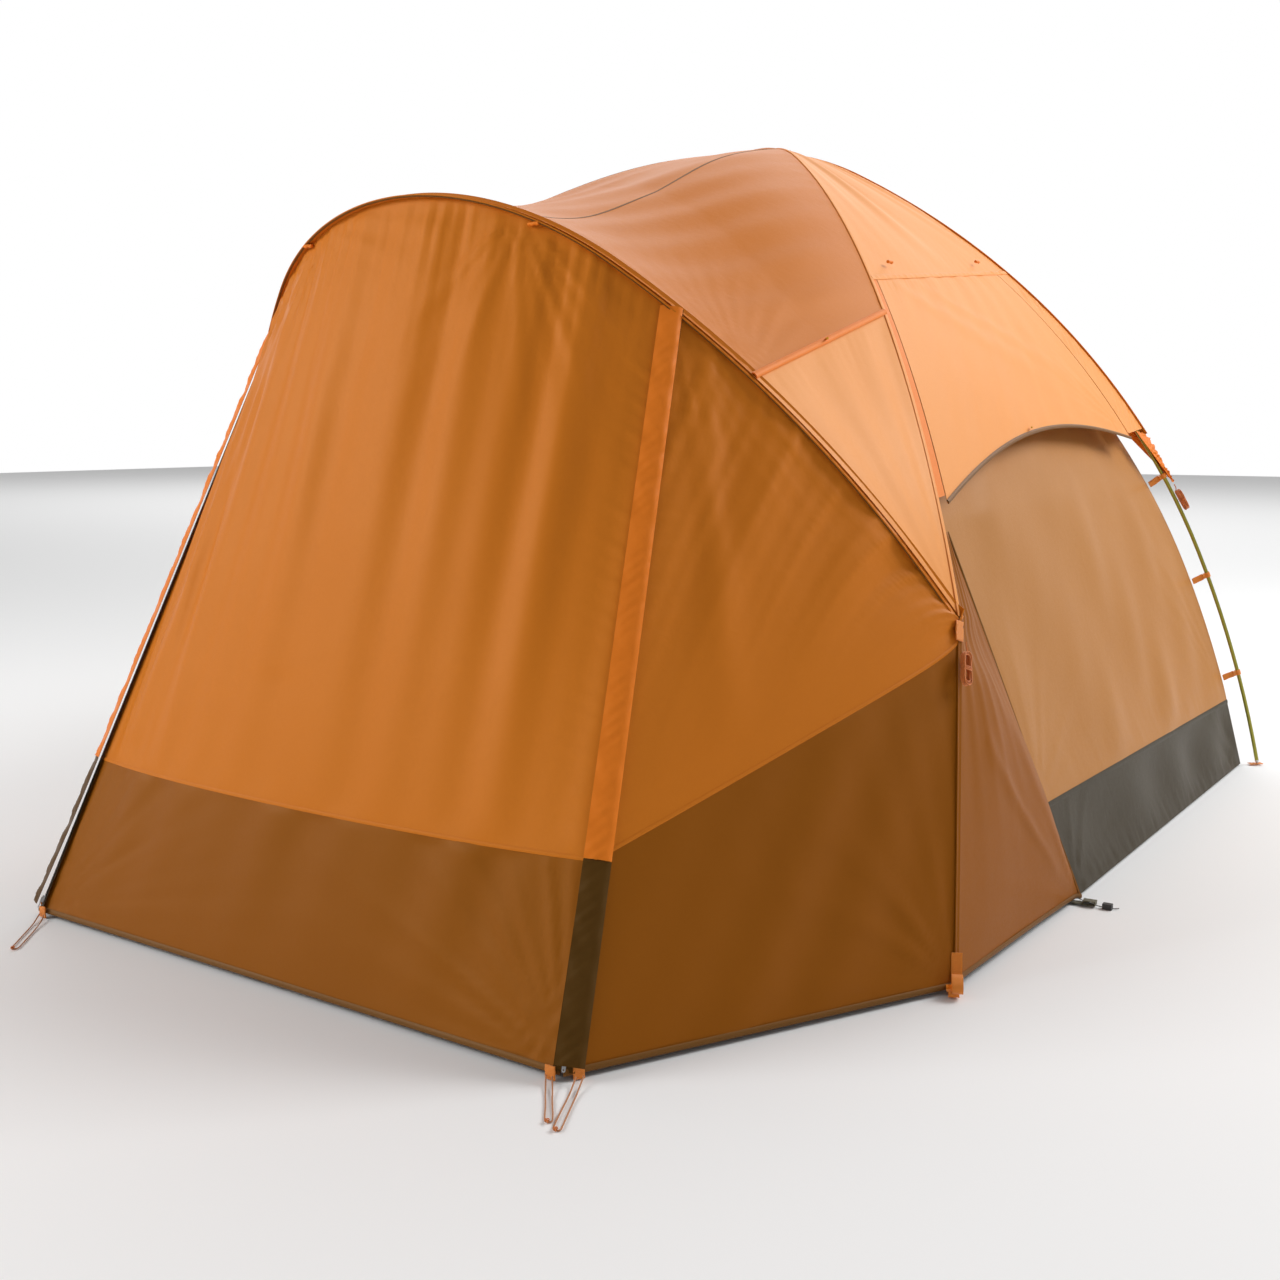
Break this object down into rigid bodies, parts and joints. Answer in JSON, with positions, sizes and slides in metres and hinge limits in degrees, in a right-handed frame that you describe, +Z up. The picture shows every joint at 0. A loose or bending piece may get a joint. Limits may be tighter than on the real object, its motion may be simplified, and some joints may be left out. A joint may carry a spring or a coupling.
{
  "type": "dome tent with a front vestibule",
  "caption": "Dome tent on crossing arched poles, with a forward-leaning hoop pole that carries a zipped front vestibule, side window covers and a tub floor.",
  "frame": {"origin": "on the ground at the middle of the whole tent, guy cords and stake loops left out", "axes": "+Z up, the front door faces -Y, +X to the right of someone looking at the rear from the front"},
  "size_m": [2.5924, 3.4319, 1.97],
  "materials": {
    "pole_olive": "anodised satin olive yellow",
    "bare_alloy": "machined satin",
    "elastic_black": "braided elastic cord",
    "clip_plastic": "moulded nylon, fine grain",
    "webbing_orange": "ribbed nylon webbing",
    "webbing_olive": "ribbed nylon webbing",
    "buckle_plastic": "moulded, slight gloss",
    "fly_orange": "coated taffeta with a slight sheen",
    "fly_light": "coated taffeta with a slight sheen",
    "fly_brown": "coated taffeta with a slight sheen",
    "zip_black": "nylon coil on tape",
    "floor_olive": "coated oxford cloth, matt",
    "body_tan": "uncoated breathable taffeta",
    "toggle_orange": "moulded",
    "toggle_yellow": "moulded",
    "cord_orange": "braided cord"
  },
  "bodies": {
    "tent": {"main_pole_low": "pole_olive", "main_pole_high": "pole_olive", "hoop_pole": "pole_olive", "pole_ferrules": "bare_alloy", "pole_tips": "bare_alloy", "shock_cords": "elastic_black", "pole_clips": "clip_plastic", "clip_tabs": "webbing_orange", "crown_clip": "clip_plastic", "crossing_clips": "clip_plastic", "fly_crown_patch": "fly_orange", "fly_roof_front": "fly_orange", "fly_shoulder_right": "fly_light", "fly_shoulder_left": "fly_light", "fly_side_right": "fly_light", "fly_side_left": "fly_light", "fly_rear": "fly_orange", "hoop_sleeve": "fly_orange", "vestibule_side_right": "fly_orange", "vestibule_side_left": "fly_orange", "vestibule_band_right": "fly_brown", "vestibule_band_left": "fly_brown", "rear_gusset_right": "fly_brown", "rear_gusset_left": "fly_brown", "zip_coil_right": "zip_black", "zip_coil_left": "zip_black", "floor_sheet": "floor_olive", "tub_wall": "floor_olive", "body_side_right": "body_tan", "body_side_left": "body_tan", "body_rear": "body_tan", "body_front": "body_tan", "inner_zip_coil": "zip_black", "front_foot_straps": "webbing_orange", "ladder_locks": "buckle_plastic", "rear_foot_straps": "webbing_orange", "hoop_foot_straps": "webbing_olive", "cord_locks": "clip_plastic", "fly_corner_tabs": "webbing_orange", "guy_tabs": "webbing_orange", "cover_toggles": "toggle_orange", "door_toggles": "toggle_orange", "vent_toggles": "toggle_yellow", "stake_tabs": "webbing_orange", "guy_hanks": "cord_orange", "stake_cords": "cord_orange"},
    "door": {"vestibule_door": "fly_orange", "door_band": "fly_brown", "storm_flap_right": "fly_light", "storm_flap_left": "fly_light"},
    "zip_slider_right": {"zip_slider_right": "bare_alloy"},
    "zip_slider_left": {"zip_slider_left": "bare_alloy"},
    "zip_pull_right": {"zip_pull_right": "bare_alloy"},
    "zip_pull_left": {"zip_pull_left": "bare_alloy"},
    "side_cover_right": {"side_cover_right": "fly_light", "cover_hem_toggles_right": "toggle_yellow"},
    "side_cover_left": {"side_cover_left": "fly_light", "cover_hem_toggles_left": "toggle_yellow"},
    "inner_door": {"inner_door": "body_tan"},
    "inner_zip_slider": {"inner_zip_slider": "bare_alloy"}
  },
  "joints": [
    {"name": "door_lift", "type": "hinge", "parent": "tent", "child": "door", "pos_m": [0, -1.126, 1.53], "axis": [-1, 0, 0], "range_deg": [0, 75]},
    {"name": "zip_slide_right", "type": "slide", "parent": "tent", "child": "zip_slider_right", "axis": [-0.1192, 0.4125, 0.9032], "range_m": [0, 1.36]},
    {"name": "zip_pull_right", "type": "hinge", "parent": "zip_slider_right", "child": "zip_pull_right", "pos_m": [0.7784, -1.6183, 0.0427], "axis": [-0.874, -0.4752, 0.1017], "range_deg": [0, 110]},
    {"name": "zip_slide_left", "type": "slide", "parent": "tent", "child": "zip_slider_left", "axis": [0.1192, 0.4125, 0.9032], "range_m": [0, 1.36]},
    {"name": "zip_pull_left", "type": "hinge", "parent": "zip_slider_left", "child": "zip_pull_left", "pos_m": [-0.7784, -1.6183, 0.0427], "axis": [-0.874, 0.4752, -0.1017], "range_deg": [0, 110]},
    {"name": "cover_lift_right", "type": "hinge", "parent": "tent", "child": "side_cover_right", "pos_m": [0.6044, 0.3714, 1.5561], "axis": [0.0848, -0.9919, -0.0949], "range_deg": [0, 100]},
    {"name": "cover_lift_left", "type": "hinge", "parent": "tent", "child": "side_cover_left", "pos_m": [-0.6044, 0.3714, 1.5561], "axis": [0.0848, 0.9919, 0.0949], "range_deg": [0, 100]},
    {"name": "inner_door_swing", "type": "hinge", "parent": "tent", "child": "inner_door", "pos_m": [-0.355, -0.486, 0.6], "axis": [0, 0, -1], "range_deg": [0, 95]},
    {"name": "inner_zip_slide", "type": "slide", "parent": "tent", "child": "inner_zip_slider", "axis": [1, 0, 0], "range_m": [0, 0.66]}
  ]
}
